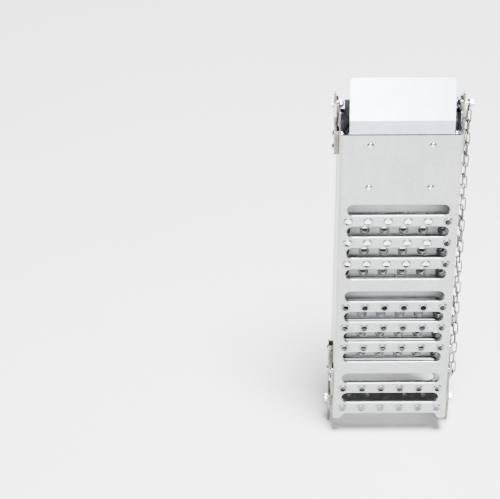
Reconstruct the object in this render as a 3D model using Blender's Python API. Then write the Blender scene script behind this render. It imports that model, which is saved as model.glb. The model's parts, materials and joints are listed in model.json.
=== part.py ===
"""Folding loading ramp: three punched steel channel sections joined by two pairs of side hinge plates.

The ramp stands folded on its ground end. The front section carries the lip, its underside faces the
middle section's underside, and the middle section's tread faces the ground section's tread.
+X is to the right of the front section's tread, +Y goes through the folded pack and +Z is up.
Lengths are in metres. The origin is the centre of the bounding box's bottom face.
"""

import math

import bmesh
import bpy
from mathutils import Matrix, Vector

MM = 0.001

# Sections: each one's ends, as heights in the folded pack
WIDTH = 230 * MM
DEPTH = 45 * MM
SHEET = 2 * MM
BEND = 5 * MM
FRONT_ENDS = (45 * MM, 745 * MM)
MIDDLE_ENDS = (84 * MM, 766 * MM)
GROUND_ENDS = (3 * MM, 738 * MM)

# Depth of each section's tread face, and the hinge axes in Y and Z
FRONT_TREAD = 0 * MM
MIDDLE_TREAD = 91 * MM
GROUND_TREAD = 99 * MM
LOWER_AXIS = (45.5 * MM, 63 * MM)
UPPER_AXIS = (95 * MM, 753 * MM)

# Punching: groups of slots, as (highest slot's height, number of slots, whether holes follow the last one);
# a row of round holes lies half a pitch under every other slot
PITCH = 51.5 * MM
FRONT_SLOTS = ((571.4 * MM, 4, False), (361.1 * MM, 4, False), (150.8 * MM, 2, True))
MIDDLE_SLOTS = ((695.1 * MM, 4, False), (484.8 * MM, 4, False), (274.5 * MM, 4, False))
GROUND_SLOTS = ((669.5 * MM, 8, True), (222 * MM, 4, False))
SLOT_LENGTH = 196 * MM
SLOT_HEIGHT = 25 * MM
HOLE_RADIUS = 6.5 * MM
HOLE_COLUMNS = 6
HOLE_SPACING = WIDTH / HOLE_COLUMNS
HOLE_DROP = 0.52 * PITCH
NOTCH_DEPTH = 14 * MM
NOTCH_HALF = 92 * MM
NOTCH_SLOPE = 8 * MM
NOTCH_ROUNDING = 4 * MM

# Hinge plates, in two layers outside the sections' sides
GAP = 0.3 * MM
PLATE = 4 * MM
INNER_FACE = WIDTH / 2 + GAP
OUTER_FACE = INNER_FACE + PLATE + 0.5 * MM
PLATE_OUTSIDE = OUTER_FACE + PLATE
RELIEF_RADIUS = 17 * MM
RELIEF_INNER = 104 * MM

# Hinge plate outlines: along is from the axis along the tail, and across is towards the tail's section
TIP_ACROSS = 1.5 * MM
TIP_HALF = 2.5 * MM
EYE_REACH = 13 * MM
EYE_ROUNDING = 10 * MM
SHOULDER = (18 * MM, 21 * MM)
TAIL_START = 38 * MM
TAIL_ACROSS = (10 * MM, 38.5 * MM)
TAIL_ROUNDING = 8 * MM
BOLT_ACROSS = 24 * MM
BOLT_MARGIN = 12 * MM
PACKER_HALF = 11 * MM
PACKER_ROUNDING = 4 * MM

# Each hinge: how far its outer plate reaches past the axis, and where along the tails the bolts are
LOWER_TONGUE = 63 * MM
LOWER_OUTER_BOLTS = (57 * MM, 112 * MM)
LOWER_INNER_BOLTS = (73 * MM, 93 * MM)
UPPER_TONGUE = 28 * MM
UPPER_BOLTS = (53 * MM, 82 * MM)

# Fasteners
PIVOT_RADIUS = 5 * MM
PIVOT_HEAD_RADIUS = 9 * MM
PIVOT_HEAD = 6.5 * MM
PIVOT_NUT = 7 * MM
CHAIN_SPACE = 10 * MM
BOLT_RADIUS = 3 * MM
BOLT_TAIL = 3 * MM
DOME_RADIUS = 6.8 * MM
DOME_HEIGHT = 4.2 * MM
NUT_RADIUS = 5.8 * MM
NUT_HEIGHT = 5 * MM

# Lip
LIP_WIDTH = 196 * MM
LIP_SHEET = 3 * MM
LIP_BOTTOM = 605 * MM
LIP_BEND = 776 * MM
LIP_LEAF = 83 * MM
LIP_ANGLE = math.radians(20)
LIP_BOLT_X = 58.5 * MM
LIP_BOLT_Z = (FRONT_ENDS[1] - 23 * MM, FRONT_ENDS[1] - 120 * MM)

# Ground strip
STRIP_HALF = 109.5 * MM
STRIP_HEIGHT = 34 * MM
STRIP_WALL = 4 * MM
STRIP_RIVET_X = (-2 * HOLE_SPACING, -HOLE_SPACING, HOLE_SPACING, 2 * HOLE_SPACING)
STRIP_RIVET_Z = 26 * MM
RIVET_RADIUS = 2.4 * MM
RIVET_HEAD_RADIUS = 5 * MM
RIVET_HEAD = 1.6 * MM

# Safety chain
WIRE = 3 * MM
CHAIN_RADIUS = 2.7 * MM
RING_RADIUS = 10.5 * MM
LOOP_BOTTOM = 80 * MM
LOOP_SPREAD = 13 * MM
LOOP_STEPS = 12
LOOP_TOP = 5 * MM
CHAIN_X = PLATE_OUTSIDE + 7.5 * MM

# Smooth shading stops at edges sharper than this
SHARP = math.radians(40)

# The box's bottom centre: the chain's bolt stands out on the right, and the lip bolts' heads in front
CENTRE_X = CHAIN_SPACE / 2
CENTRE_Y = (GROUND_TREAD + DEPTH - DOME_HEIGHT - GAP) / 2


def clear_scene():
    for item in list(bpy.data.objects):
        bpy.data.objects.remove(item, do_unlink=True)


def material(name, color, roughness, metallic):
    made = bpy.data.materials.new(name)
    made.use_nodes = True
    shader = made.node_tree.nodes["Principled BSDF"]
    shader.inputs["Base Color"].default_value = (*color, 1)
    shader.inputs["Roughness"].default_value = roughness
    shader.inputs["Metallic"].default_value = metallic
    made.diffuse_color = (*color, 1)
    return made


clear_scene()
ZINC = material("zinc_sheet", (0.66, 0.68, 0.69), 0.45, 0.6)
PLATED = material("plated_hinge", (0.62, 0.62, 0.56), 0.38, 0.8)
BRIGHT = material("bright_fastener", (0.75, 0.77, 0.8), 0.25, 0.9)
LIP = material("lip_zinc", (0.7, 0.72, 0.75), 0.35, 0.7)
LINKS = material("chain_zinc", (0.66, 0.67, 0.68), 0.35, 0.8)
RUBBER = material("black_rubber", (0.02, 0.02, 0.02), 0.7, 0.0)
BLACK = material("black_rivet", (0.02, 0.02, 0.02), 0.4, 0.3)


# Shapes


def arc(centre, radius, start, end, steps):
    """Points on a circle, from one angle to another in degrees."""
    angles = [math.radians(start + (end - start) * i / steps) for i in range(steps + 1)]
    return [(centre[0] + radius * math.cos(a), centre[1] + radius * math.sin(a)) for a in angles]


def rounded(corners, steps=2):
    """A closed outline from (x, y, radius) corners, each rounded to its radius."""
    outline = []
    for i, (x, y, radius) in enumerate(corners):
        here = Vector((x, y))
        if radius == 0:
            outline.append(tuple(here))
            continue
        before = (Vector(corners[i - 1][:2]) - here).normalized()
        after = (Vector(corners[(i + 1) % len(corners)][:2]) - here).normalized()
        half = before.angle(after) / 2
        reach = radius / math.tan(half)
        centre = here + (before + after).normalized() * radius / math.sin(half)
        first = here + before * reach - centre
        last = here + after * reach - centre
        turn = first.angle_signed(last)
        for step in range(steps + 1):
            spoke = first.copy()
            spoke.rotate(Matrix.Rotation(-turn * step / steps, 2))
            outline.append(tuple(centre + spoke))
    return outline


def add_prism(mesh, outline, low, high, place):
    """An outline carried from low to high; place(a, b, height) gives each corner's position."""
    rings = [[mesh.verts.new(place(a, b, h)) for a, b in outline] for h in (low, high)]
    count = len(outline)
    mesh.faces.new(rings[0])
    mesh.faces.new(reversed(rings[1]))
    for i in range(count):
        j = (i + 1) % count
        mesh.faces.new((rings[0][j], rings[0][i], rings[1][i], rings[1][j]))


def along_x(y, z, x):
    return (x, y, z)


def along_y(x, z, y):
    return (x, y, z)


def along_z(x, y, z):
    return (x, y, z)


def add_turned(mesh, stations, centre, sides):
    """A solid turned about an X axis through centre (y, z), from (x, radius) stations."""
    rings = []
    for x, radius in stations:
        angles = [2 * math.pi * (i + 0.5) / sides for i in range(sides)]
        points = [(x, centre[0] + radius * math.cos(a), centre[1] + radius * math.sin(a)) for a in angles]
        rings.append([mesh.verts.new(point) for point in points])
    mesh.faces.new(rings[0])
    mesh.faces.new(reversed(rings[-1]))
    for one, other in zip(rings, rings[1:]):
        for i in range(sides):
            j = (i + 1) % sides
            mesh.faces.new((one[j], one[i], other[i], other[j]))


def add_nut(mesh, low, high, centre, radius, bore):
    """A hexagonal nut on an X axis with a six-sided bore."""
    rings = []
    for x, reach in ((low, bore), (low, radius), (high, radius), (high, bore)):
        angles = [math.pi * (i + 0.5) / 3 for i in range(6)]
        points = [(x, centre[0] + reach * math.cos(a), centre[1] + reach * math.sin(a)) for a in angles]
        rings.append([mesh.verts.new(point) for point in points])
    for k in range(4):
        one, other = rings[k], rings[(k + 1) % 4]
        for i in range(6):
            j = (i + 1) % 6
            mesh.faces.new((one[i], one[j], other[j], other[i]))


def finish(mesh, name, look, frame, smooth=False):
    """Turns a bmesh into a named object on its section's frame, with its faces pointing out."""
    bmesh.ops.translate(mesh, vec=-frame_place(frame), verts=mesh.verts)
    bmesh.ops.recalc_face_normals(mesh, faces=mesh.faces)
    data = bpy.data.meshes.new(name)
    mesh.to_mesh(data)
    mesh.free()
    data.materials.append(look)
    if smooth:
        data.shade_smooth()
        data.set_sharp_from_angle(angle=SHARP)
    made = bpy.data.objects.new(name, data)
    made.parent = frame
    bpy.context.collection.objects.link(made)
    return made


def frame_place(frame):
    """A frame's place as the shapes are drawn, with X = 0 midway and the front tread at Y = 0."""
    place = Vector((CENTRE_X, CENTRE_Y, 0))
    while frame:
        place += frame.location
        frame = frame.parent
    return place


def hinge_frame(name, axis, parent=None):
    """An empty on a hinge axis, which carries the pieces that turn about it."""
    empty = bpy.data.objects.new(name, None)
    empty.parent = parent
    empty.location = Vector((CENTRE_X, *axis)) - frame_place(parent)
    bpy.context.collection.objects.link(empty)
    return empty


def cut(target, name, fill):
    """Cuts a target with one hidden cutter whose solids fill(mesh) adds."""
    mesh = bmesh.new()
    fill(mesh)
    cutter = finish(mesh, name, ZINC, target.parent)
    cutter.hide_render = True
    cutter.display_type = "WIRE"
    boolean = target.modifiers.new(name, "BOOLEAN")
    boolean.operation = "DIFFERENCE"
    boolean.solver = "EXACT"
    boolean.object = cutter


# Sections


def slot_rows(groups):
    """Every slot's height, and whether a row of holes lies under it."""
    rows = []
    for first, count, holes_after in groups:
        for i in range(count):
            rows.append((first - i * PITCH, holes_after or i < count - 1))
    return rows


def channel_outline(tread, inward):
    """The C section, in X and Y: tread is the web's outer face, and inward is +1 or -1 along Y."""
    half = WIDTH / 2
    deep = tread + inward * DEPTH
    under = tread + inward * SHEET
    inner = half - SHEET
    corners = [(-half, deep, 0), (-half, tread, BEND), (half, tread, BEND), (half, deep, 0)]
    corners += [(inner, deep, 0), (inner, under, BEND - SHEET), (-inner, under, BEND - SHEET)]
    corners.append((-inner, deep, 0))
    return rounded(corners)


def punch(mesh, rows, tread, notched_end):
    """Slots, hole rows and the end's notch, cut through the web along Y."""
    low, high = tread - 2 * SHEET, tread + 2 * SHEET
    reach = (SLOT_LENGTH - SLOT_HEIGHT) / 2
    top = notched_end + NOTCH_DEPTH
    for z, holes in rows:
        slot = arc((reach, z), SLOT_HEIGHT / 2, -90, 90, 4)
        slot += arc((-reach, z), SLOT_HEIGHT / 2, 90, 270, 4)
        add_prism(mesh, slot, low, high, along_y)
        clear_of_notch = z - HOLE_DROP - HOLE_RADIUS > top
        for column in range(HOLE_COLUMNS if holes and clear_of_notch else 0):
            x = (column - (HOLE_COLUMNS - 1) / 2) * HOLE_SPACING
            add_prism(mesh, arc((x, z - HOLE_DROP), HOLE_RADIUS, 0, 300, 5), low, high, along_y)
    beyond = notched_end - NOTCH_DEPTH
    wide = NOTCH_HALF + 2 * NOTCH_SLOPE
    corners = [(-wide, beyond, 0), (wide, beyond, 0), (NOTCH_HALF, top, NOTCH_ROUNDING)]
    corners.append((-NOTCH_HALF, top, NOTCH_ROUNDING))
    add_prism(mesh, rounded(corners), low, high, along_y)


def section(name, frame, tread, inward, ends, slots, axes, bolts):
    """A punched channel, cleared round the pivot nuts and drilled for its bolts through the sides."""
    mesh = bmesh.new()
    add_prism(mesh, channel_outline(tread, inward), *ends, along_z)
    made = finish(mesh, name, ZINC, frame, True)

    def openings(cutter):
        punch(cutter, slot_rows(slots), tread, ends[0])

    def clearances(cutter):
        outside = WIDTH / 2 + SHEET
        for side in (-1, 1):
            for axis in axes:
                stations = ((side * RELIEF_INNER, RELIEF_RADIUS), (side * outside, RELIEF_RADIUS))
                add_turned(cutter, stations, axis, 16)
            for centre in bolts:
                radius = BOLT_RADIUS + GAP
                stations = ((side * (outside - 3 * SHEET), radius), (side * outside, radius))
                add_turned(cutter, stations, centre, 8)

    cut(made, name + "_openings_cutter", openings)
    cut(made, name + "_clearance_cutter", clearances)
    return made


# Hinges: plate corners are (along the tail, across towards the tail's section, rounding radius)


def tail_end(bolts):
    return bolts[1] + BOLT_MARGIN


def tail_corners(end):
    """The tail of a plate, from its shoulder round its end and back to its start."""
    near, far = TAIL_ACROSS
    return [
        (*SHOULDER, 2 * TAIL_ROUNDING),
        (TAIL_START, far, TAIL_ROUNDING),
        (end, far, TAIL_ROUNDING),
        (end, near, TAIL_ROUNDING),
        (TAIL_START, near, TAIL_ROUNDING),
        (EYE_REACH, -EYE_REACH, EYE_ROUNDING),
    ]


def outer_shape(tongue, end):
    """A plate with a pointed tongue past the axis, and a tail along its section's side."""
    tip = [(-tongue / 3, -EYE_REACH, EYE_ROUNDING), (-tongue, TIP_ACROSS - TIP_HALF, TIP_HALF)]
    tip += [(-tongue, TIP_ACROSS + TIP_HALF, TIP_HALF), (-tongue / 3, EYE_REACH, EYE_ROUNDING)]
    return tail_corners(end) + tip


def inner_shape(end):
    """A plate with a round eye, and a tail along its section's side."""
    eye = [(-EYE_REACH, -EYE_REACH, EYE_ROUNDING), (-EYE_REACH, EYE_REACH, EYE_ROUNDING)]
    return tail_corners(end) + eye


def packer_shape(bolts):
    """A rounded pad under an outer plate's tail, past both of its bolts."""
    low, high = bolts[0] - BOLT_MARGIN, bolts[1] + BOLT_MARGIN
    near, far = BOLT_ACROSS - PACKER_HALF, BOLT_ACROSS + PACKER_HALF
    corners = [(low, near), (low, far), (high, far), (high, near)]
    return [(*corner, PACKER_ROUNDING) for corner in corners]


def placed(points, axis, up, back):
    """Moves (along, across, ...) points to Y and Z: up is the tail's sense in Z, back its side in Y."""
    return [(axis[0] + back * v, axis[1] + up * a, *rest) for a, v, *rest in points]


def side_plate(name, frame, outline, inside, outside, holes, pivot=None):
    """A flat plate between two planes on one side, drilled for its bolts and its pivot."""
    mesh = bmesh.new()
    low, high = sorted((inside, outside))
    add_prism(mesh, rounded(outline, 3), low, high, along_x)
    made = finish(mesh, name, PLATED, frame)

    def drilled(cutter):
        for centre in holes:
            radius = BOLT_RADIUS + GAP
            add_turned(cutter, ((low - GAP, radius), (high + GAP, radius)), centre, 8)
        if pivot:
            radius = PIVOT_RADIUS + GAP
            add_turned(cutter, ((low - GAP, radius), (high + GAP, radius)), pivot, 16)

    cut(made, name + "_cutter", drilled)


def pivot_bolt(name, frame, axis, side, space):
    """A bolt through both plates; space is left under its head for what hangs on it."""
    mesh = bmesh.new()
    inside = INNER_FACE - GAP - PIVOT_NUT - BOLT_TAIL
    seat = PLATE_OUTSIDE + GAP + space
    stations = [(side * inside, PIVOT_RADIUS), (side * seat, PIVOT_RADIUS)]
    stations += [(side * seat, PIVOT_HEAD_RADIUS), (side * (seat + PIVOT_HEAD), PIVOT_HEAD_RADIUS)]
    add_turned(mesh, stations, axis, 12)
    finish(mesh, name, BRIGHT, frame, True)


def pivot_nut(name, frame, axis, side):
    mesh = bmesh.new()
    outside = INNER_FACE - GAP
    bore = PIVOT_RADIUS + 4 * GAP
    add_nut(mesh, side * (outside - PIVOT_NUT), side * outside, axis, PIVOT_HEAD_RADIUS, bore)
    finish(mesh, name, BRIGHT, frame)


def bolt_stations(seat, nut_face, sense=1):
    """A dome-headed bolt and its nut, along X: seat is under the head, and nut_face under the nut."""
    nut_end = nut_face - NUT_HEIGHT
    stations = [
        (nut_end - BOLT_TAIL, BOLT_RADIUS),
        (nut_end, BOLT_RADIUS),
        (nut_end, NUT_RADIUS),
        (nut_face, NUT_RADIUS),
        (nut_face, BOLT_RADIUS),
        (seat, BOLT_RADIUS),
        (seat, DOME_RADIUS),
        (seat + 0.6 * DOME_HEIGHT, 0.75 * DOME_RADIUS),
        (seat + DOME_HEIGHT, 0.3 * DOME_RADIUS),
    ]
    return [(sense * x, radius) for x, radius in stations]


def plate_bolts(name, frame, places, face):
    """A bolt and nut for each place on both sides, through the plate whose outer face is given."""
    for side, word in ((-1, "left"), (1, "right")):
        for number, centre in enumerate(places, 1):
            mesh = bmesh.new()
            add_turned(mesh, bolt_stations(face + GAP, WIDTH / 2 - SHEET - GAP, side), centre, 8)
            finish(mesh, f"{name}_bolt_{word}_{number}", BRIGHT, frame, True)


def hinge(name, axis, up, back, tongue, outer_frame, inner_frame, outer_bolts, inner_bolts):
    """Both sides of one hinge. up and back point from the axis along and across the outer plate's tail.

    The lower hinge's pivot bolts belong to the outer plates, and the upper hinge's to the inner plates.
    """
    outer_places = placed([(along, BOLT_ACROSS) for along in outer_bolts], axis, up, back)
    inner_places = placed([(along, BOLT_ACROSS) for along in inner_bolts], axis, up, -back)
    outer = placed(outer_shape(tongue, tail_end(outer_bolts)), axis, up, back)
    packer = placed(packer_shape(outer_bolts), axis, up, back)
    inner = placed(inner_shape(tail_end(inner_bolts)), axis, up, -back)
    pivot_frame = outer_frame if up > 0 else inner_frame
    for side, word in ((-1, "left"), (1, "right")):
        side_plate(f"{name}_outer_plate_{word}", outer_frame, outer, side * OUTER_FACE,
                   side * PLATE_OUTSIDE, outer_places, axis)
        side_plate(f"{name}_packer_{word}", outer_frame, packer, side * INNER_FACE,
                   side * (OUTER_FACE - GAP), outer_places)
        side_plate(f"{name}_inner_plate_{word}", inner_frame, inner, side * INNER_FACE,
                   side * (INNER_FACE + PLATE), inner_places, axis)
        hangs_chain = side > 0 and up < 0
        space = CHAIN_SPACE if hangs_chain else 0
        pivot_bolt(f"{name}_pivot_bolt_{word}", pivot_frame, axis, side, space)
        pivot_nut(f"{name}_pivot_nut_{word}", pivot_frame, axis, side)
    plate_bolts(f"{name}_outer_plate", outer_frame, outer_places, PLATE_OUTSIDE)
    plate_bolts(f"{name}_inner_plate", inner_frame, inner_places, INNER_FACE + PLATE)
    return outer_places, inner_places


# Lip


def lip_outline():
    """The lip's side view, in Y and Z: flat behind the web, then bent back."""
    face = FRONT_TREAD + SHEET + GAP
    lean = Vector((math.sin(LIP_ANGLE), math.cos(LIP_ANGLE)))
    across = Vector((math.cos(LIP_ANGLE), -math.sin(LIP_ANGLE))) * LIP_SHEET
    bend = Vector((face, LIP_BEND))
    tip = bend + lean * LIP_LEAF
    inner_bend = (face + LIP_SHEET, LIP_BEND - LIP_SHEET * math.tan(LIP_ANGLE / 2))
    return [(face, LIP_BOTTOM), tuple(bend), tuple(tip), tuple(tip + across), inner_bend,
            (face + LIP_SHEET, LIP_BOTTOM)]


def lip_shanks(mesh):
    for x in (-LIP_BOLT_X, LIP_BOLT_X):
        for z in LIP_BOLT_Z:
            outline = arc((x, z), BOLT_RADIUS + GAP, 0, 315, 7)
            add_prism(mesh, outline, FRONT_TREAD - BEND, FRONT_TREAD + 2 * BEND, along_y)


def face_front(mesh, x, z):
    """Turns a piece drawn along X at the origin, so that its head looks along -Y at (x, z)."""
    matrix = Matrix.Translation((x, 0, z)) @ Matrix.Rotation(-math.pi / 2, 4, "Z")
    bmesh.ops.transform(mesh, matrix=matrix, verts=mesh.verts)


def lip(front, frame):
    """The lip plate, bolted behind the front section's web."""
    mesh = bmesh.new()
    add_prism(mesh, lip_outline(), -LIP_WIDTH / 2, LIP_WIDTH / 2, along_x)
    plate = finish(mesh, "lip_plate", LIP, frame)
    cut(plate, "lip_plate_cutter", lip_shanks)
    cut(front, "front_lip_cutter", lip_shanks)
    places = [(x, z) for z in LIP_BOLT_Z for x in (-LIP_BOLT_X, LIP_BOLT_X)]
    for number, (x, z) in enumerate(places, 1):
        bolt = bmesh.new()
        add_turned(bolt, bolt_stations(GAP, -SHEET - LIP_SHEET - 2 * GAP), (0, 0), 8)
        face_front(bolt, x, z)
        finish(bolt, f"lip_bolt_{number}", BRIGHT, frame, True)


# Ground strip


def ground_strip(section_piece, frame):
    """Rubber strip folded round the ground section's lower edge, held by rivets through the web."""
    front = GROUND_TREAD - GAP - STRIP_WALL
    rear = GROUND_TREAD + SHEET + GAP
    seat = GROUND_ENDS[0] - GAP
    outline = [(front, 0), (rear + STRIP_WALL, 0), (rear + STRIP_WALL, STRIP_HEIGHT - BEND)]
    outline += [(rear, STRIP_HEIGHT - BEND), (rear, seat), (GROUND_TREAD - GAP, seat)]
    outline += [(GROUND_TREAD - GAP, STRIP_HEIGHT), (front + SHEET, STRIP_HEIGHT)]
    outline.append((front, STRIP_HEIGHT - SHEET))
    mesh = bmesh.new()
    add_prism(mesh, outline, -STRIP_HALF, STRIP_HALF, along_x)
    strip = finish(mesh, "ground_strip", RUBBER, frame)

    def rivet_holes(cutter):
        for x in STRIP_RIVET_X:
            outline = arc((x, STRIP_RIVET_Z), RIVET_RADIUS + GAP, 0, 315, 7)
            add_prism(cutter, outline, front - SHEET, rear + STRIP_WALL + SHEET, along_y)

    cut(strip, "ground_strip_cutter", rivet_holes)
    cut(section_piece, "ground_rivet_cutter", rivet_holes)
    low = -(rear + STRIP_WALL + GAP)
    high = -(front - GAP)
    crown = 0.6 * RIVET_HEAD_RADIUS
    stations = [(low - RIVET_HEAD, crown), (low, RIVET_HEAD_RADIUS), (low, RIVET_RADIUS)]
    stations += [(high, RIVET_RADIUS), (high, RIVET_HEAD_RADIUS), (high + RIVET_HEAD, crown)]
    for number, x in enumerate(STRIP_RIVET_X, 1):
        rivet = bmesh.new()
        add_turned(rivet, stations, (0, 0), 8)
        face_front(rivet, x, STRIP_RIVET_Z)
        finish(rivet, f"ground_strip_rivet_{number}", BLACK, frame, True)


# Safety chain


def add_wire(mesh, path, radius, sides, place):
    """Round wire along a closed path in a plane; place is the plane's matrix."""
    rings = []
    for i, point in enumerate(path):
        way = (Vector(path[(i + 1) % len(path)]) - Vector(path[i - 1])).normalized()
        out = Vector((way.y, -way.x, 0))
        ring = []
        for k in range(sides):
            angle = 2 * math.pi * k / sides
            spoke = out * math.cos(angle) + Vector((0, 0, math.sin(angle)))
            ring.append(mesh.verts.new(place @ (Vector((*point, 0)) + spoke * radius)))
        rings.append(ring)
    for i, ring in enumerate(rings):
        other = rings[(i + 1) % len(rings)]
        for k in range(sides):
            m = (k + 1) % sides
            mesh.faces.new((ring[k], ring[m], other[m], other[k]))


def safety_chain(frame):
    """A ring on the upper right pivot bolt, and the loop of chain hung on it.

    The chain is one closed loop of round bar, which has about the mass of its links.
    """
    y, z = UPPER_AXIS
    upright = Matrix(((0, 0, 1), (1, 0, 0), (0, 1, 0))).to_4x4()
    ring_centre = z + PIVOT_RADIUS + GAP + WIRE / 2 - RING_RADIUS
    ring = bmesh.new()
    place = Matrix.Translation((CHAIN_X, y, ring_centre)) @ upright
    add_wire(ring, arc((0, 0), RING_RADIUS, 0, 337.5, 15), WIRE / 2, 6, place)
    finish(ring, "chain_ring", LINKS, frame, True)
    top = ring_centre - RING_RADIUS - WIRE / 2 - GAP - CHAIN_RADIUS
    corner = LOOP_BOTTOM + LOOP_SPREAD
    shares = [i / LOOP_STEPS for i in range(LOOP_STEPS)]
    left = [(-LOOP_TOP - (LOOP_SPREAD - LOOP_TOP) * t, top + (corner - top) * t) for t in shares]
    bottom = arc((0, corner), LOOP_SPREAD, 180, 360, 8)
    right = [(-a, b) for a, b in reversed(left)]
    chain = bmesh.new()
    place = Matrix.Translation((CHAIN_X, y, 0)) @ upright
    add_wire(chain, left + bottom + right, CHAIN_RADIUS, 6, place)
    finish(chain, "safety_chain", LINKS, frame, True)


GROUND = hinge_frame("ground_frame", (CENTRE_Y, 0))
MIDDLE = hinge_frame("middle_frame", UPPER_AXIS)
FRONT = hinge_frame("front_frame", LOWER_AXIS, MIDDLE)
CHAIN = hinge_frame("chain_frame", UPPER_AXIS)

LOWER_HINGE = hinge("lower_hinge", LOWER_AXIS, 1, 1, LOWER_TONGUE, MIDDLE, FRONT,
                    LOWER_OUTER_BOLTS, LOWER_INNER_BOLTS)
UPPER_HINGE = hinge("upper_hinge", UPPER_AXIS, -1, -1, UPPER_TONGUE, MIDDLE, GROUND,
                    UPPER_BOLTS, UPPER_BOLTS)

FRONT_SECTION = section("front_section", FRONT, FRONT_TREAD, 1, FRONT_ENDS, FRONT_SLOTS,
                        (LOWER_AXIS,), LOWER_HINGE[1])
MIDDLE_SECTION = section("middle_section", MIDDLE, MIDDLE_TREAD, -1, MIDDLE_ENDS, MIDDLE_SLOTS,
                         (UPPER_AXIS,), LOWER_HINGE[0] + UPPER_HINGE[0])
GROUND_SECTION = section("ground_section", GROUND, GROUND_TREAD, 1, GROUND_ENDS, GROUND_SLOTS,
                         (UPPER_AXIS,), UPPER_HINGE[1])
lip(FRONT_SECTION, FRONT)
ground_strip(GROUND_SECTION, GROUND)
safety_chain(CHAIN)
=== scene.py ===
"""Looks for the folding loading ramp: formed sheet, plates, fasteners, chain, rubber, floor and light."""

import json
import math

import bmesh
import bpy
from mathutils import Matrix, Vector
from mathutils.geometry import delaunay_2d_cdt


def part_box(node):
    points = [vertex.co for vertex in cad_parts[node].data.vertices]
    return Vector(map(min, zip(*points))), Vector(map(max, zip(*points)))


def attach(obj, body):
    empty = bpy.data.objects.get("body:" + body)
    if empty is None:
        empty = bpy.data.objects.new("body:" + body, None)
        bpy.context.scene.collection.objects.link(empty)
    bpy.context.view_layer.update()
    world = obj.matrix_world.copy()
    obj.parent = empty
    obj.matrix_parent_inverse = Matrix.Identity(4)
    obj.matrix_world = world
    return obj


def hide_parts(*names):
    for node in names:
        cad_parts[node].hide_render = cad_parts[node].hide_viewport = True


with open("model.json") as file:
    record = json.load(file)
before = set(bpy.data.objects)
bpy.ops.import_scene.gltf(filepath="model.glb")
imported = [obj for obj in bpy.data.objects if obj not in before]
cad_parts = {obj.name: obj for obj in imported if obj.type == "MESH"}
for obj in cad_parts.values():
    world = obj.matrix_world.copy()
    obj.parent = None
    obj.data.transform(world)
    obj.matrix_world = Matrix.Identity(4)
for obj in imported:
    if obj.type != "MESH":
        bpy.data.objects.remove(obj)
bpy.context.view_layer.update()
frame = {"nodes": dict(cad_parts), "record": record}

MM = 0.001
JOINTS = {joint["name"]: Vector(joint["pos_m"]) for joint in frame["record"]["behaviour"]["joints"]}
FRONT_LOW, FRONT_HIGH = map(Vector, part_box("front_section"))
MIDDLE_X = (FRONT_LOW.x + FRONT_HIGH.x) / 2
HALF_WIDTH = (FRONT_HIGH.x - FRONT_LOW.x) / 2
FLANGE = FRONT_HIGH.y - FRONT_LOW.y

SHEET = 2 * MM
BEND = 7 * MM
PITCH = 51.5 * MM
FRONT_SLOTS = ((571.4 * MM, 4, False), (361.1 * MM, 4, False), (150.8 * MM, 2, True))
MIDDLE_SLOTS = ((695.1 * MM, 4, False), (484.8 * MM, 4, False), (274.5 * MM, 4, False))
GROUND_SLOTS = ((669.5 * MM, 8, True), (222 * MM, 4, False))
SLOT_HALF_LENGTH = 98 * MM
SLOT_HALF_HEIGHT = 12.5 * MM
SLOT_FILLET = 2.6 * MM
SLOT_DEPTH = 7 * MM
EDGE_BREAK = 0.3 * MM
HOLE_RADIUS = 6.5 * MM
DIMPLE_RADIUS = 10.4 * MM
DIMPLE_HEIGHT = 2.6 * MM
HOLE_COLUMNS = 6
HOLE_SPACING = 2 * HALF_WIDTH / HOLE_COLUMNS
HOLE_DROP = 0.52 * PITCH
NOTCH_DEPTH = 14 * MM
NOTCH_HALF = 92 * MM
NOTCH_SLOPE = 8 * MM
RELIEF_RADIUS = 17 * MM
RELIEF_INNER = 104 * MM
BOLT_HOLE = 3.3 * MM
FLAT_HALF = HALF_WIDTH - BEND
TURN_LENGTH = BEND * math.pi / 2
TURN_STEPS = 6
FIT_GAP = 0.3 * MM
FOOT_ROUNDING = 2 * MM
NOTCH_OUTER_ROUNDING = 3 * MM
NOTCH_INNER_ROUNDING = 5 * MM
HOLE_STEPS = 20
BOLT_HOLE_STEPS = 12
SHARP_ANGLE = 40
TURNED_SHARP_ANGLE = 30
WIRE_SHARP_ANGLE = 80


def box(node):
    """The two corners of a CAD node's box."""
    return [Vector(corner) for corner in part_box(node)]


# Outlines in a plane


def arc(centre, radius, start, end, steps):
    """Points on a circle, from one angle to another in degrees."""
    angles = [math.radians(start + (end - start) * i / steps) for i in range(steps + 1)]
    return [(centre[0] + radius * math.cos(a), centre[1] + radius * math.sin(a)) for a in angles]


def circle(centre, radius, count):
    return arc(centre, radius, 0, 360 - 360 / count, count - 1)


def stadium(centre, half_length, radius, steps):
    """A slot's outline, with its length along the first axis."""
    reach = half_length - radius
    right = arc((centre[0] + reach, centre[1]), radius, -90, 90, steps)
    return right + arc((centre[0] - reach, centre[1]), radius, 90, 270, steps)


def rounded(corners, steps=6):
    """A closed outline from (x, y, radius) corners, each rounded to its radius."""
    outline = []
    for i, (x, y, radius) in enumerate(corners):
        here = Vector((x, y))
        if radius == 0:
            outline.append(tuple(here))
            continue
        before = (Vector(corners[i - 1][:2]) - here).normalized()
        after = (Vector(corners[(i + 1) % len(corners)][:2]) - here).normalized()
        half = before.angle(after) / 2
        centre = here + (before + after).normalized() * radius / math.sin(half)
        first = here + before * radius / math.tan(half) - centre
        last = here + after * radius / math.tan(half) - centre
        turn = first.angle_signed(last)
        for step in range(steps + 1):
            spoke = first.copy()
            spoke.rotate(Matrix.Rotation(-turn * step / steps, 2))
            outline.append(tuple(centre + spoke))
    return outline


def inside(point, outline):
    """Whether a point lies inside a closed outline."""
    x, y = point
    found = False
    for (ax, ay), (bx, by) in zip(outline, outline[1:] + outline[:1]):
        if (ay > y) != (by > y) and x < ax + (y - ay) * (bx - ax) / (by - ay):
            found = not found
    return found


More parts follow.
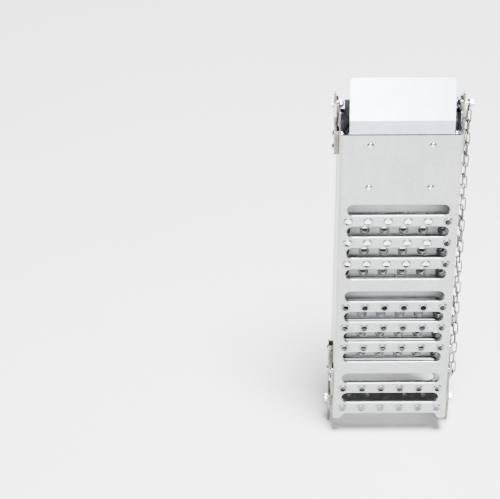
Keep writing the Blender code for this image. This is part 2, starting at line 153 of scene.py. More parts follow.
# Openings: each has an outline for any inset, and the way its edge is formed on both faces


def round_hole(centre, radius, steps):
    """A plain punched round hole."""
    return {"outline": lambda inset: circle(centre, radius, steps), "outer": [], "inner": []}


def flanged_edge(outline):
    """A slot whose edge is turned to the underside round a fillet."""
    turns = [math.radians(a) for a in (22.5, 45, 67.5, 90)]
    outer = [(SLOT_FILLET * math.sin(a), SLOT_FILLET * (1 - math.cos(a))) for a in turns]
    small = SLOT_FILLET - SHEET
    inner = [(small * math.sin(a), SHEET + small * (1 - math.cos(a))) for a in turns]
    return {
        "outline": outline,
        "outer": outer + [(SLOT_FILLET, SLOT_DEPTH - EDGE_BREAK), (SLOT_FILLET - EDGE_BREAK, SLOT_DEPTH)],
        "inner": inner + [(small, SLOT_DEPTH)],
    }


def dimpled_edge(outline):
    """A round hole raised to the tread face in a collar, with (inset, height) shares from foot to rim."""
    width = DIMPLE_RADIUS - HOLE_RADIUS
    shape = [(0.12, 0.05), (0.3, 0.3), (0.5, 0.68), (0.68, 0.9), (0.85, 1), (1, 0.94)]
    outer = [(width * a, -DIMPLE_HEIGHT * b) for a, b in shape]
    inner = [(width * a, SHEET - DIMPLE_HEIGHT * b) for a, b in shape[:-1]]
    return {"outline": outline, "outer": outer, "inner": inner + [(width, SHEET - DIMPLE_HEIGHT)]}


WELD_DISTANCE = 1e-6


def band(mesh, one, other):
    """A strip of faces between two closed rings of vertices."""
    for i in range(len(one)):
        j = (i + 1) % len(one)
        mesh.faces.new((one[j], one[i], other[i], other[j]))


def formed_sheet(name, boundary, openings, folds, thickness, place):
    """One sheet of metal: boundary and openings in the flat, folded by place(a, b, depth)."""
    points = []
    edges = []
    loops = []
    outlines = [opening["outline"](0) for opening in openings]
    for loop in [boundary] + outlines:
        start = len(points)
        points += loop
        edges += [(start + i, start + (i + 1) % len(loop)) for i in range(len(loop))]
        loops.append(range(start, len(points)))
    for line in folds:
        edges.append((len(points), len(points) + 1))
        points += line
    flat = [Vector(point) for point in points]
    coords, _, faces, origins, _, _ = delaunay_2d_cdt(flat, edges, [], 0, WELD_DISTANCE)
    found = {origin: i for i, group in enumerate(origins) for origin in group}
    limits = []
    for outline in outlines:
        across, along = zip(*outline)
        limits.append((min(across), max(across), min(along), max(along)))

    def kept(face):
        a, b = sum((coords[i] for i in face), Vector((0, 0))) / len(face)
        if not inside((a, b), boundary):
            return False
        for outline, (low_a, high_a, low_b, high_b) in zip(outlines, limits):
            if low_a < a < high_a and low_b < b < high_b and inside((a, b), outline):
                return False
        return True

    mesh = bmesh.new()
    outer = [mesh.verts.new(place(a, b, 0)) for a, b in coords]
    inner = [mesh.verts.new(place(a, b, thickness)) for a, b in coords]
    used = set()
    for face in filter(kept, faces):
        mesh.faces.new([outer[i] for i in face])
        mesh.faces.new([inner[i] for i in reversed(face)])
        for i, j in zip(face, face[1:] + face[:1]):
            used.add((i, j))
    feature_edges = set()
    for loop, opening in zip(loops[1:], openings):
        ids = [found[i] for i in loop]
        for i, j in zip(ids, ids[1:] + ids[:1]):
            feature_edges |= {(i, j), (j, i)}
        rings = [[outer[i] for i in ids]]
        steps = opening["outer"] + list(reversed(opening["inner"]))
        for inset, depth in steps:
            rings.append([mesh.verts.new(place(a, b, depth)) for a, b in opening["outline"](inset)])
        rings.append([inner[i] for i in ids])
        for one, other in zip(rings, rings[1:]):
            band(mesh, one, other)
    for i, j in used:
        if (j, i) not in used and (i, j) not in feature_edges:
            mesh.faces.new((outer[j], outer[i], inner[i], inner[j]))
    loose = [vert for vert in mesh.verts if not vert.link_faces]
    bmesh.ops.delete(mesh, geom=loose, context="VERTS")
    return finished(mesh, name)


def finished(mesh, name, angle=SHARP_ANGLE, weighted=True):
    """Turns a bmesh into a smooth object whose flat faces stay flat."""
    bmesh.ops.recalc_face_normals(mesh, faces=mesh.faces)
    data = bpy.data.meshes.new(name)
    mesh.to_mesh(data)
    mesh.free()
    data.shade_smooth()
    data.set_sharp_from_angle(angle=math.radians(angle))
    made = bpy.data.objects.new(name, data)
    bpy.context.collection.objects.link(made)
    if weighted:
        normals = made.modifiers.new("flat_faces", "WEIGHTED_NORMAL")
        normals.keep_sharp = True
        normals.weight = 80
    return made


def stand_for(piece, node, body, look):
    """Gives a piece its material, its body and the CAD node it stands for."""
    piece.data.materials.clear()
    piece.data.materials.append(look)
    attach(piece, body)
    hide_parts(node)


# Materials


def principled(name, roughness, metallic):
    made = bpy.data.materials.new(name)
    made.use_nodes = True
    shader = made.node_tree.nodes["Principled BSDF"]
    shader.inputs["Roughness"].default_value = roughness
    shader.inputs["Metallic"].default_value = metallic
    return made, made.node_tree, shader


def noise(tree, scale, detail=4, stretch=(1, 1, 1)):
    """Noise in object coordinates, stretched along each axis."""
    place = tree.nodes.new("ShaderNodeTexCoord")
    mapping = tree.nodes.new("ShaderNodeMapping")
    mapping.inputs["Scale"].default_value = stretch
    texture = tree.nodes.new("ShaderNodeTexNoise")
    texture.inputs["Scale"].default_value = scale
    texture.inputs["Detail"].default_value = detail
    tree.links.new(place.outputs["Object"], mapping.inputs["Vector"])
    tree.links.new(mapping.outputs["Vector"], texture.inputs["Vector"])
    return texture.outputs["Fac"]


def cells(tree, scale):
    """Random grey crystal cells, as on galvanised sheet."""
    place = tree.nodes.new("ShaderNodeTexCoord")
    texture = tree.nodes.new("ShaderNodeTexVoronoi")
    texture.inputs["Scale"].default_value = scale
    tree.links.new(place.outputs["Object"], texture.inputs["Vector"])
    return texture.outputs["Color"]


def ramp(tree, source, low, high, start, end):
    """A colour or grey ramp over a grey source."""
    made = tree.nodes.new("ShaderNodeValToRGB")
    made.color_ramp.elements[0].position = start
    made.color_ramp.elements[1].position = end
    made.color_ramp.elements[0].color = (*low, 1)
    made.color_ramp.elements[1].color = (*high, 1)
    tree.links.new(source, made.inputs["Fac"])
    return made.outputs["Color"]


def multiplied(tree, one, other, amount):
    """One colour multiplied by another, by a share of its full effect."""
    mix = tree.nodes.new("ShaderNodeMix")
    mix.data_type = "RGBA"
    mix.blend_type = "MULTIPLY"
    mix.inputs["Factor"].default_value = amount
    tree.links.new(one, mix.inputs["A"])
    tree.links.new(other, mix.inputs["B"])
    return mix.outputs["Result"]


def bumped(tree, shader, source, strength, distance):
    bump = tree.nodes.new("ShaderNodeBump")
    bump.inputs["Strength"].default_value = strength
    bump.inputs["Distance"].default_value = distance
    tree.links.new(source, bump.inputs["Height"])
    tree.links.new(bump.outputs["Normal"], shader.inputs["Normal"])


def grey(value):
    return (value, value, value)


WHITE = grey(1.0)
# Reach and darkest tone of the painted shade in the sheet's folds and hollows.
SHADE_REACH = 90 * MM
DARKEST_SHADE = grey(0.22)
CRYSTAL_SCALE = 130
CLOUD_SCALE = 9
STREAK_SCALE = 60
STREAK_STRETCH = (1, 1, 0.06)
GRAIN_SCALE = 420
PIT_SCALE = 700
RUBBER_GRAIN_SCALE = 1500
PIT_DEPTH = 0.3 * MM


def galvanised(name, dark, light, metallic, roughness):
    """Zinc sheet: faint crystal cells, cloudy tone, rolled streaks and fine grain, with painted shade
    darkening the folds and hollows.
    """
    made, tree, shader = principled(name, roughness[1], metallic)
    cloud = ramp(tree, noise(tree, CLOUD_SCALE), dark, light, 0.3, 0.7)
    crystal = ramp(tree, cells(tree, CRYSTAL_SCALE), grey(0.9), WHITE, 0.1, 0.9)
    streak = ramp(tree, noise(tree, STREAK_SCALE, 3, STREAK_STRETCH), grey(0.93), WHITE, 0.35, 0.65)
    tone = multiplied(tree, cloud, crystal, 1.0)
    # Painted shade: ambient occlusion darkens the base colour in the folds, hollows and the channel's
    # inside, where shade falls.
    hollow = tree.nodes.new("ShaderNodeAmbientOcclusion")
    hollow.inputs["Distance"].default_value = SHADE_REACH
    painted_shade = ramp(tree, hollow.outputs["AO"], DARKEST_SHADE, WHITE, 0.1, 0.9)
    tone = multiplied(tree, tone, painted_shade, 1.0)
    tree.links.new(multiplied(tree, tone, streak, 0.8), shader.inputs["Base Color"])
    sheen = ramp(tree, cells(tree, CRYSTAL_SCALE), grey(roughness[0]), grey(roughness[1]), 0.0, 1.0)
    tree.links.new(sheen, shader.inputs["Roughness"])
    bumped(tree, shader, noise(tree, GRAIN_SCALE, 5), 0.05, PIT_DEPTH)
    return made


def plated(name, dark, light, metallic, roughness, tint=None):
    """Plated steel plate or wire: a slightly uneven tone, a tinted film and tiny pits."""
    made, tree, shader = principled(name, roughness[1], metallic)
    tone = ramp(tree, noise(tree, 45, 6), dark, light, 0.35, 0.65)
    if tint:
        film = ramp(tree, noise(tree, 18, 3), tint, WHITE, 0.35, 0.65)
        tone = multiplied(tree, tone, film, 0.7)
    tree.links.new(tone, shader.inputs["Base Color"])
    sheen = ramp(tree, noise(tree, 160, 4), grey(roughness[0]), grey(roughness[1]), 0.35, 0.65)
    tree.links.new(sheen, shader.inputs["Roughness"])
    bumped(tree, shader, noise(tree, PIT_SCALE, 4), 0.1, PIT_DEPTH)
    return made


def rubber():
    """Matte black rubber with a fine moulded grain and a little dust."""
    made, tree, shader = principled("strip_rubber", 0.85, 0.0)
    shader.inputs["Specular IOR Level"].default_value = 0.2
    tone = ramp(tree, noise(tree, 70, 6), (0.006, 0.006, 0.007), (0.02, 0.019, 0.018), 0.4, 0.75)
    tree.links.new(tone, shader.inputs["Base Color"])
    bumped(tree, shader, noise(tree, RUBBER_GRAIN_SCALE, 3), 0.35, PIT_DEPTH)
    return made


SHEET_LOOK = galvanised("galvanised_sheet", (0.32, 0.328, 0.335), (0.37, 0.378, 0.386), 0.98, (0.27, 0.36))
LIP_LOOK = galvanised("lip_sheet", (0.38, 0.42, 0.48), (0.44, 0.48, 0.54), 0.96, (0.18, 0.25))
PLATE_FILM = (0.93, 0.92, 0.8)
PLATE_LOOK = plated("hinge_plating", (0.11, 0.108, 0.09), (0.2, 0.197, 0.17), 0.93, (0.25, 0.4), PLATE_FILM)
BRIGHT_LOOK = plated("bright_zinc", (0.38, 0.41, 0.47), (0.52, 0.56, 0.62), 0.97, (0.16, 0.26))
CHAIN_LOOK = plated("chain_zinc", (0.1, 0.1, 0.096), (0.2, 0.2, 0.19), 0.96, (0.16, 0.28))
BLACK_LOOK = plated("black_coating", (0.012, 0.012, 0.013), (0.025, 0.025, 0.027), 0.1, (0.35, 0.55))
RUBBER_LOOK = rubber()


# Sections


def slot_rows(groups):
    """Every slot's height, and whether a row of holes lies under it."""
    rows = []
    for first, count, holes_after in groups:
        for i in range(count):
            rows.append((first - i * PITCH, holes_after or i < count - 1))
    return rows


def folded(tread, inward):
    """Maps the flat sheet (across, height, depth) to the channel, whose web's outer face is at tread."""

    def place(a, z, depth):
        side = 1 if a >= 0 else -1
        past = abs(a) - FLAT_HALF
        if past <= 0:
            x, y = abs(a), depth
        elif past < TURN_LENGTH:
            angle = past / BEND
            x = FLAT_HALF + (BEND - depth) * math.sin(angle)
            y = BEND - (BEND - depth) * math.cos(angle)
        else:
            x, y = HALF_WIDTH - depth, BEND + past - TURN_LENGTH
        return Vector((MIDDLE_X + side * x, tread + inward * y, z))

    return place


def flat_reach(depth):
    """How far from the sheet's middle line a place on the side, at that depth behind the tread, is."""
    return FLAT_HALF + TURN_LENGTH + depth - BEND


def section_boundary(low, high, relief, cut_corners):
    """The flat sheet's outline: the lower notch, and a bite round a hinge axis on each side."""
    edge = flat_reach(FLANGE)
    outer = NOTCH_HALF + NOTCH_SLOPE
    corners = [
        (-edge, low, FOOT_ROUNDING),
        (-outer, low, NOTCH_OUTER_ROUNDING),
        (-NOTCH_HALF, low + NOTCH_DEPTH, NOTCH_INNER_ROUNDING),
        (NOTCH_HALF, low + NOTCH_DEPTH, NOTCH_INNER_ROUNDING),
        (outer, low, NOTCH_OUTER_ROUNDING),
        (edge, low, FOOT_ROUNDING),
    ]
    top = [(edge, high, FOOT_ROUNDING), (-edge, high, FOOT_ROUNDING)]
    steps = 5
    outline = rounded(corners + top, steps)
    bottom_count = len(corners) * (steps + 1)
    bottom, top = outline[:bottom_count], outline[bottom_count:]
    right_top, left_top = top[:steps + 1], top[steps + 1:]
    right_bite = left_bite = []
    if relief:
        right_bite = arc((edge, relief), RELIEF_RADIUS, -90, -270, 16)
        left_bite = arc((-edge, relief), RELIEF_RADIUS, 90, -90, 16)
    if cut_corners:
        right_cut = corner_cut(high)
        right_top = right_top + right_cut
        left_top = [(-a, z) for a, z in reversed(right_cut)] + left_top
    return bottom + right_bite + right_top + left_top + left_bite


def corner_cut(high):
    """The bite that the upper hinge axis takes out of a top corner, from the side edge to the top edge."""
    proud = UPPER_AXIS.y - MIDDLE_TREAD
    centre = (flat_reach(-proud), UPPER_AXIS.z)
    first = math.degrees(math.asin((high - UPPER_AXIS.z) / RELIEF_RADIUS))
    last = -math.degrees(math.acos(proud / RELIEF_RADIUS))
    bite = arc(centre, RELIEF_RADIUS, first, last, 14)
    return bite + [(RELIEF_INNER, bite[-1][1]), (RELIEF_INNER, high)]


def section(node, body, tread, inward, groups, web_holes, side_holes, relief=None, cut=False):
    """A channel section with flanged slots, dimpled holes, rounded bends and a notched end."""
    low, high = box(node)
    openings = []
    for z, holes in slot_rows(groups):

        def slot_outline(inset, z=z):
            grown = SLOT_FILLET - inset
            return stadium((0, z), SLOT_HALF_LENGTH + grown, SLOT_HALF_HEIGHT + grown, 12)

        openings.append(flanged_edge(slot_outline))
        for column in range(HOLE_COLUMNS if holes else 0):
            centre = ((column - (HOLE_COLUMNS - 1) / 2) * HOLE_SPACING, z - HOLE_DROP)
            openings.append(dimpled_edge(
                lambda inset, centre=centre: circle(centre, DIMPLE_RADIUS - inset, HOLE_STEPS)))
    openings += [round_hole(centre, BOLT_HOLE, BOLT_HOLE_STEPS) for centre in web_holes]
    for depth, z in side_holes:
        for side in (-1, 1):
            openings.append(round_hole((side * flat_reach(depth), z), BOLT_HOLE, BOLT_HOLE_STEPS))
    folds = []
    for step in range(TURN_STEPS + 1):
        for side in (-1, 1):
            a = side * (FLAT_HALF + TURN_LENGTH * step / TURN_STEPS)
            folds.append([(a, low.z), (a, high.z)])
    boundary = section_boundary(low.z, high.z, relief, cut)
    piece = formed_sheet(node + "_sheet", boundary, openings, folds, SHEET, folded(tread, inward))
    stand_for(piece, node, body, SHEET_LOOK)


def centre_of(node):
    low, high = box(node)
    return (low + high) / 2


def side_places(prefix, tread, inward):
    """Bolt holes in a section's side, as (depth behind the tread, height), from the CAD bolts."""
    found = []
    for node in frame["nodes"]:
        if node.startswith(prefix) and "_left_" in node:
            centre = centre_of(node)
            found.append((inward * (centre.y - tread), centre.z))
    return found


def web_places(prefix):
    return [(centre_of(n).x - MIDDLE_X, centre_of(n).z) for n in frame["nodes"] if n.startswith(prefix)]


FRONT_TREAD = FRONT_LOW.y
MIDDLE_TREAD = box("middle_section")[1].y
GROUND_TREAD = box("ground_section")[0].y
LOWER_AXIS = JOINTS["lower_fold"]
UPPER_AXIS = JOINTS["upper_fold"]

section("front_section", "front", FRONT_TREAD, 1, FRONT_SLOTS,
        web_places("lip_bolt_"), side_places("lower_hinge_inner_plate_bolt", FRONT_TREAD, 1),
        relief=LOWER_AXIS.z)
section("middle_section", "middle", MIDDLE_TREAD, -1, MIDDLE_SLOTS, (),
        side_places("lower_hinge_outer_plate_bolt", MIDDLE_TREAD, -1)
        + side_places("upper_hinge_outer_plate_bolt", MIDDLE_TREAD, -1), cut=True)
section("ground_section", "ground", GROUND_TREAD, 1, GROUND_SLOTS,
        web_places("ground_strip_rivet_"), side_places("upper_hinge_inner_plate_bolt", GROUND_TREAD, 1))


# Lip


LIP_SHEET = 3 * MM
LIP_ANGLE = math.radians(20)
LIP_RADIUS = 12 * MM
LIP_TANGENT = LIP_RADIUS * math.tan(LIP_ANGLE / 2)
LIP_FOOT_ROUNDING = 3 * MM
LIP_TOP_ROUNDING = 8 * MM


def bent_lip(face, bend_z):
    """Maps the flat lip (across, height, depth) to one bent back round LIP_RADIUS at bend_z."""
    start = bend_z - LIP_TANGENT

    def place(a, z, depth):
        past = z - start
        turned = min(max(past / LIP_RADIUS, 0), LIP_ANGLE)
        beyond = past - LIP_RADIUS * turned if past > 0 else 0
        if past <= 0:
            return Vector((MIDDLE_X + a, face + depth, z))
        reach = LIP_RADIUS - depth
        y = face + LIP_RADIUS - reach * math.cos(turned) + beyond * math.sin(turned)
        height = start + reach * math.sin(turned) + beyond * math.cos(turned)
        return Vector((MIDDLE_X + a, y, height))

    return place


def lip():
    low, high = box("lip_plate")
    face = low.y
    half = (high.x - low.x) / 2
    leaf = (high.y - LIP_SHEET * math.cos(LIP_ANGLE) - face) / math.sin(LIP_ANGLE)
    bend_z = high.z - leaf * math.cos(LIP_ANGLE)
    start = bend_z - LIP_TANGENT
    top = start + LIP_RADIUS * LIP_ANGLE + leaf - LIP_TANGENT
    corners = [(-half, low.z, LIP_FOOT_ROUNDING), (half, low.z, LIP_FOOT_ROUNDING)]
    corners += [(half, top, LIP_TOP_ROUNDING), (-half, top, LIP_TOP_ROUNDING)]
    folds = []
    for step in range(TURN_STEPS + 1):
        z = start + LIP_RADIUS * LIP_ANGLE * step / TURN_STEPS
        folds.append([(-half, z), (half, z)])
    holes = [round_hole(centre, BOLT_HOLE, BOLT_HOLE_STEPS) for centre in web_places("lip_bolt_")]
    piece = formed_sheet("lip_sheet", rounded(corners), holes, folds, LIP_SHEET, bent_lip(face, bend_z))
    stand_for(piece, "lip_plate", "front", LIP_LOOK)


lip()


# Side plates


def upright(x):
    """Maps (Y, Z, depth) to a sheet that stands across X, from x on."""
    return lambda y, z, depth: Vector((x + depth, y, z))


def rim_rounded(piece):
    """Breaks a flat plate's edges."""
    bevel = piece.modifiers.new("edge", "BEVEL")
    bevel.width = 0.5 * MM
    bevel.segments = 2
    bevel.limit_method = "ANGLE"
    bevel.angle_limit = math.radians(SHARP_ANGLE)
    bevel.harden_normals = True


def flat_plate(node, body, outline, holes):
    """A flat plate between the CAD plate's two faces, with its outline and holes in Y and Z."""
    low, high = box(node)
    openings = [round_hole((y, z), radius, HOLE_STEPS) for y, z, radius in holes]
    piece = formed_sheet(node + "_formed", outline, openings, (), high.x - low.x, upright(low.x))
    piece.modifiers.remove(piece.modifiers["flat_faces"])
    rim_rounded(piece)
    stand_for(piece, node, body, PLATE_LOOK)


def placed(points, axis, up, back):
    """Moves (along, across, ...) points in millimetres to Y and Z about an axis."""
    return [(axis.y + back * v * MM, axis.z + up * a * MM, *rest) for a, v, *rest in points]


TIP_ACROSS = 1.5
TIP_HALF = 2.5
EYE_REACH = 13
EYE_ROUNDING = 10 * MM
SHOULDER = (18, 21)
TAIL_START = 38
TAIL_ACROSS = (10, 38.5)
TAIL_ROUNDING = 8 * MM
BOLT_ACROSS = 24
BOLT_MARGIN = 12
PACKER_HALF = 11
PACKER_ROUNDING = 4 * MM
PIVOT_HOLE = 5.3 * MM


def tail_corners(end):
    near, far = TAIL_ACROSS
    return [
        (*SHOULDER, 2 * TAIL_ROUNDING),
        (TAIL_START, far, TAIL_ROUNDING),
        (end, far, TAIL_ROUNDING),
        (end, near, TAIL_ROUNDING),
        (TAIL_START, near, TAIL_ROUNDING),
        (EYE_REACH, -EYE_REACH, EYE_ROUNDING),
    ]


def outer_shape(tongue, end):
    """A plate with a pointed tongue past the axis, and a tail along its section's side."""
    tip = [(-tongue / 3, -EYE_REACH, EYE_ROUNDING), (-tongue, TIP_ACROSS - TIP_HALF, TIP_HALF * MM)]
    tip += [(-tongue, TIP_ACROSS + TIP_HALF, TIP_HALF * MM), (-tongue / 3, EYE_REACH, EYE_ROUNDING)]
    return tail_corners(end) + tip


def inner_shape(end):
    """A plate with a round eye, and a tail along its section's side."""
    eye = [(-EYE_REACH, -EYE_REACH, EYE_ROUNDING), (-EYE_REACH, EYE_REACH, EYE_ROUNDING)]
    return tail_corners(end) + eye


def packer_shape(bolts):
    low, high = bolts[0] - BOLT_MARGIN, bolts[1] + BOLT_MARGIN
    near, far = BOLT_ACROSS - PACKER_HALF, BOLT_ACROSS + PACKER_HALF
    return [(*corner, PACKER_ROUNDING) for corner in ((low, near), (low, far), (high, far), (high, near))]


def hinge_plates(name, axis, up, back, tongue, outer_bolts, inner_bolts, inner_body):
    """Every plate of one hinge, on both sides."""
    outer_holes = placed([(a, BOLT_ACROSS, BOLT_HOLE) for a in outer_bolts], axis, up, back)
    inner_holes = placed([(a, BOLT_ACROSS, BOLT_HOLE) for a in inner_bolts], axis, up, -back)
    pivot = [(axis.y, axis.z, PIVOT_HOLE)]
    outer = rounded(placed(outer_shape(tongue, outer_bolts[1] + BOLT_MARGIN), axis, up, back), 10)
    packer = rounded(placed(packer_shape(outer_bolts), axis, up, back), 6)
    inner = rounded(placed(inner_shape(inner_bolts[1] + BOLT_MARGIN), axis, up, -back), 10)
    for side in ("left", "right"):
        flat_plate(f"{name}_outer_plate_{side}", "middle", outer, outer_holes + pivot)
        flat_plate(f"{name}_packer_{side}", "middle", packer, outer_holes)
        flat_plate(f"{name}_inner_plate_{side}", inner_body, inner, inner_holes + pivot)


hinge_plates("lower_hinge", LOWER_AXIS, 1, 1, 63, (57, 112), (73, 93), "front")
hinge_plates("upper_hinge", UPPER_AXIS, -1, -1, 28, (53, 82), (53, 82), "ground")


# Fasteners


def turned(mesh, stations, matrix, sides=36, hexagon=()):
    """A turned solid from (distance, radius) stations along X; stations listed in hexagon are six-sided."""
    rings = []
    for number, (x, radius) in enumerate(stations):
        ring = []
        for i in range(sides):
            angle = 2 * math.pi * i / sides
            reach = radius
            if number in hexagon:
                within = (angle + math.pi / 6) % (math.pi / 3) - math.pi / 6
                reach = min(radius, hexagon[number] / math.cos(within))
            spoke = Vector((x, reach * math.cos(angle), reach * math.sin(angle)))
            ring.append(mesh.verts.new(matrix @ spoke))
        rings.append(ring)
    mesh.faces.new(rings[0])
    mesh.faces.new(reversed(rings[-1]))
    for one, other in zip(rings, rings[1:]):
        band(mesh, one, other)


def hex_stations(low, high, flat):
    """Stations and flats for a hexagonal head or nut with chamfered corners."""
    corner = flat / math.cos(math.pi / 6)
    chamfer = (corner - flat) * 0.6
    stations = [(low, flat * 0.96), (low + chamfer, corner), (high - chamfer, corner), (high, flat * 0.96)]
    return stations, {1: flat, 2: flat}


def threads(start, stop, radius, pitch):
    """Stations of a shallow thread profile."""
    count = max(1, int((stop - start) / pitch))
    found = []
    for i in range(count):
        found.append((start + (i + 0.1) * pitch, radius * 0.88))
        found.append((start + (i + 0.6) * pitch, radius))
    return found


def aligned(centre, way):
    """The matrix that turns X to a direction at a centre."""
    return Matrix.Translation(centre) @ Vector(way).to_track_quat("X", "Z").to_matrix().to_4x4()


DOME_RADIUS = 6.8 * MM
DOME_HEIGHT = 4.2 * MM
DOME_STEPS = 8
CROWN_FLAT = 0.3
BOLT_RADIUS = 3 * MM
NUT_FLAT = 5 * MM
NUT_HEIGHT = 5 * MM
TAIL = 3 * MM
THREAD_PITCH = 1 * MM
PIVOT_HEAD = 6.5 * MM
PIVOT_RADIUS = 5 * MM
PIVOT_THREAD_END = 9 * MM
PIVOT_THREAD_PITCH = 1.5 * MM
PIVOT_WASHER_RADIUS = 8.6 * MM
PIVOT_WASHER = 0.6 * MM
PIVOT_NECK_RADIUS = 7.4 * MM
PIVOT_HEAD_FLAT = 7.6 * MM
PIVOT_NUT_FLAT = 7.5 * MM
RIVET_HEAD = 1.6 * MM
RIVET_HEAD_RADIUS = 5 * MM
RIVET_RADIUS = 2.4 * MM
RIVET_STEPS = 6
THREAD_ROOT = 0.8


def fastener(mesh, node, body, look=BRIGHT_LOOK):
    stand_for(finished(mesh, node + "_turned", TURNED_SHARP_ANGLE, False), node, body, look)


def dome_bolt(node, body, way):
    """A dome-headed bolt with its nut; way points from its tail to its head."""
    low, high = box(node)
    way = Vector(way)
    length = abs((high - low).dot(way))
    head = (low + high) / 2 + way * length / 2
    matrix = aligned(head, way)
    mesh = bmesh.new()
    dome = []
    for step in range(DOME_STEPS + 1):
        angle = math.radians(90 * step / (DOME_STEPS + CROWN_FLAT))
        dome.append((-DOME_HEIGHT * (1 - math.sin(angle)), DOME_RADIUS * math.cos(angle)))
    nut = -length + TAIL
    shank = [(-length, BOLT_RADIUS * THREAD_ROOT)]
    shank += threads(-length + 0.2 * MM, nut, BOLT_RADIUS, THREAD_PITCH)
    shank += [(nut, BOLT_RADIUS), (-DOME_HEIGHT, BOLT_RADIUS)]
    turned(mesh, shank + dome, matrix)
    stations, flats = hex_stations(nut, nut + NUT_HEIGHT, NUT_FLAT)
    turned(mesh, stations, matrix, hexagon=flats)
    fastener(mesh, node, body)


def pivot_bolt(node, body, way):
    """A hexagon-headed pivot bolt with a washer face and a threaded tail."""
    low, high = box(node)
    way = Vector(way)
    length = high.x - low.x
    matrix = aligned((low + high) / 2 + way * length / 2, way)
    mesh = bmesh.new()
    thread = -length + PIVOT_THREAD_END
    seat = -PIVOT_HEAD + PIVOT_WASHER
    shank = [(-length, PIVOT_RADIUS * THREAD_ROOT)]
    shank += threads(-length + 0.3 * MM, thread, PIVOT_RADIUS, PIVOT_THREAD_PITCH)
    shank += [(thread + 0.5 * MM, PIVOT_RADIUS), (-PIVOT_HEAD, PIVOT_RADIUS)]
    shank += [(-PIVOT_HEAD, PIVOT_WASHER_RADIUS), (seat, PIVOT_WASHER_RADIUS), (seat, PIVOT_NECK_RADIUS)]
    turned(mesh, shank, matrix)
    stations, flats = hex_stations(seat, 0, PIVOT_HEAD_FLAT)
    turned(mesh, stations, matrix, hexagon=flats)
    fastener(mesh, node, body)


def pivot_nut(node, body):
    low, high = box(node)
    half = (high.x - low.x) / 2
    mesh = bmesh.new()
    stations, flats = hex_stations(-half, half, PIVOT_NUT_FLAT)
    turned(mesh, stations, Matrix.Translation(centre_of(node)), hexagon=flats)
    fastener(mesh, node, body)


def rivet(node, body):
    """A rivet with two low round heads, along Y."""
    low, high = box(node)
    half = (high.y - low.y) / 2
    reach = half - RIVET_HEAD
    mesh = bmesh.new()
    head = []
    for step in range(RIVET_STEPS + 1):
        angle = math.radians(90 * step / (RIVET_STEPS + CROWN_FLAT))
        head.append((half - RIVET_HEAD * (1 - math.sin(angle)), RIVET_HEAD_RADIUS * math.cos(angle)))
    stations = [(-x, r) for x, r in reversed(head)] + [(-reach, RIVET_RADIUS), (reach, RIVET_RADIUS)]
    turned(mesh, stations + head, aligned((low + high) / 2, (0, -1, 0)), 24)
    fastener(mesh, node, body, BLACK_LOOK)


BODY_OF = {node: body for body, nodes in frame["record"]["behaviour"]["bodies"].items() for node in nodes}

for node, body in BODY_OF.items():
    outward = (-1 if "left" in node else 1, 0, 0)
    if "_plate_bolt_" in node:
        dome_bolt(node, body, outward)
    elif node.startswith("lip_bolt_"):
        dome_bolt(node, body, (0, -1, 0))
    elif "_pivot_bolt_" in node:
        pivot_bolt(node, body, outward)
    elif "_pivot_nut_" in node:
        pivot_nut(node, body)
    elif "_rivet_" in node:
        rivet(node, body)


# Ground strip


RIB_STEPS = 14
RIB_HEIGHT = 0.5 * MM


def ground_strip():
    """Rubber strip round the lower edge, with a row of ribs along its outer face."""
    low, high = box("ground_strip")
    web_front = GROUND_TREAD - FIT_GAP
    web_back = GROUND_TREAD + SHEET + FIT_GAP
    seat = box("ground_section")[0].z - FIT_GAP
    back_top = high.z - 5 * MM
    corners = [(low.y, low.z, 2 * MM), (high.y, low.z, 2 * MM), (high.y, back_top, 1.2 * MM)]
    corners += [(web_back, back_top, 0), (web_back, seat, 0), (web_front, seat, 0)]
    corners += [(web_front, high.z, 0), (low.y, high.z, 1.8 * MM)]
    outline = rounded(corners, 4)
    ribbed = []
    for (y, z), (next_y, next_z) in zip(outline, outline[1:] + outline[:1]):
        ribbed.append((y, z))
        if max(abs(y - low.y), abs(next_y - low.y)) < WELD_DISTANCE and z > next_z:
            for i in range(1, RIB_STEPS):
                groove = RIB_HEIGHT if i % 2 else 0
                ribbed.append((low.y + groove, z + (next_z - z) * (i / RIB_STEPS)))
    width = high.x - low.x
    piece = formed_sheet("ground_strip_rubber", ribbed, (), (), width, upright(low.x))
    stand_for(piece, "ground_strip", "ground", RUBBER_LOOK)


ground_strip()


# Chain


WIRE = 1.5 * MM
LINK_PITCH = 25.4 * MM
LINK_HALF = 16 * MM
LINK_HALF_WIDTH = 6 * MM
LINK_SWAY = math.radians(16)
LINK_SWAY_STEP = 2.4
LOOP_SPREAD = 13 * MM
LOOP_TOP = 3 * MM
LOOP_TURN = 0.22


def add_wire(mesh, path, sides, place):
    """Round wire along a closed path in a plane; place is the plane's matrix."""
    rings = []
    for i, point in enumerate(path):
        way = (Vector(path[(i + 1) % len(path)]) - Vector(path[i - 1])).normalized()
        out = Vector((way.y, -way.x, 0))
        ring = []
        for k in range(sides):
            angle = 2 * math.pi * k / sides
            spoke = out * math.cos(angle) + Vector((0, 0, math.sin(angle)))
            ring.append(mesh.verts.new(place @ (Vector((*point, 0)) + spoke * WIRE)))
        rings.append(ring)
    for ring, other in zip(rings, rings[1:] + rings[:1]):
        band(mesh, other, ring)


def link_path():
    """One link's centre line, with its length along the second axis."""
    end = LINK_HALF_WIDTH - WIRE
    straight = LINK_HALF - WIRE - end
    return arc((0, straight), end, 0, 180, 8) + arc((0, -straight), end, 180, 360, 8)


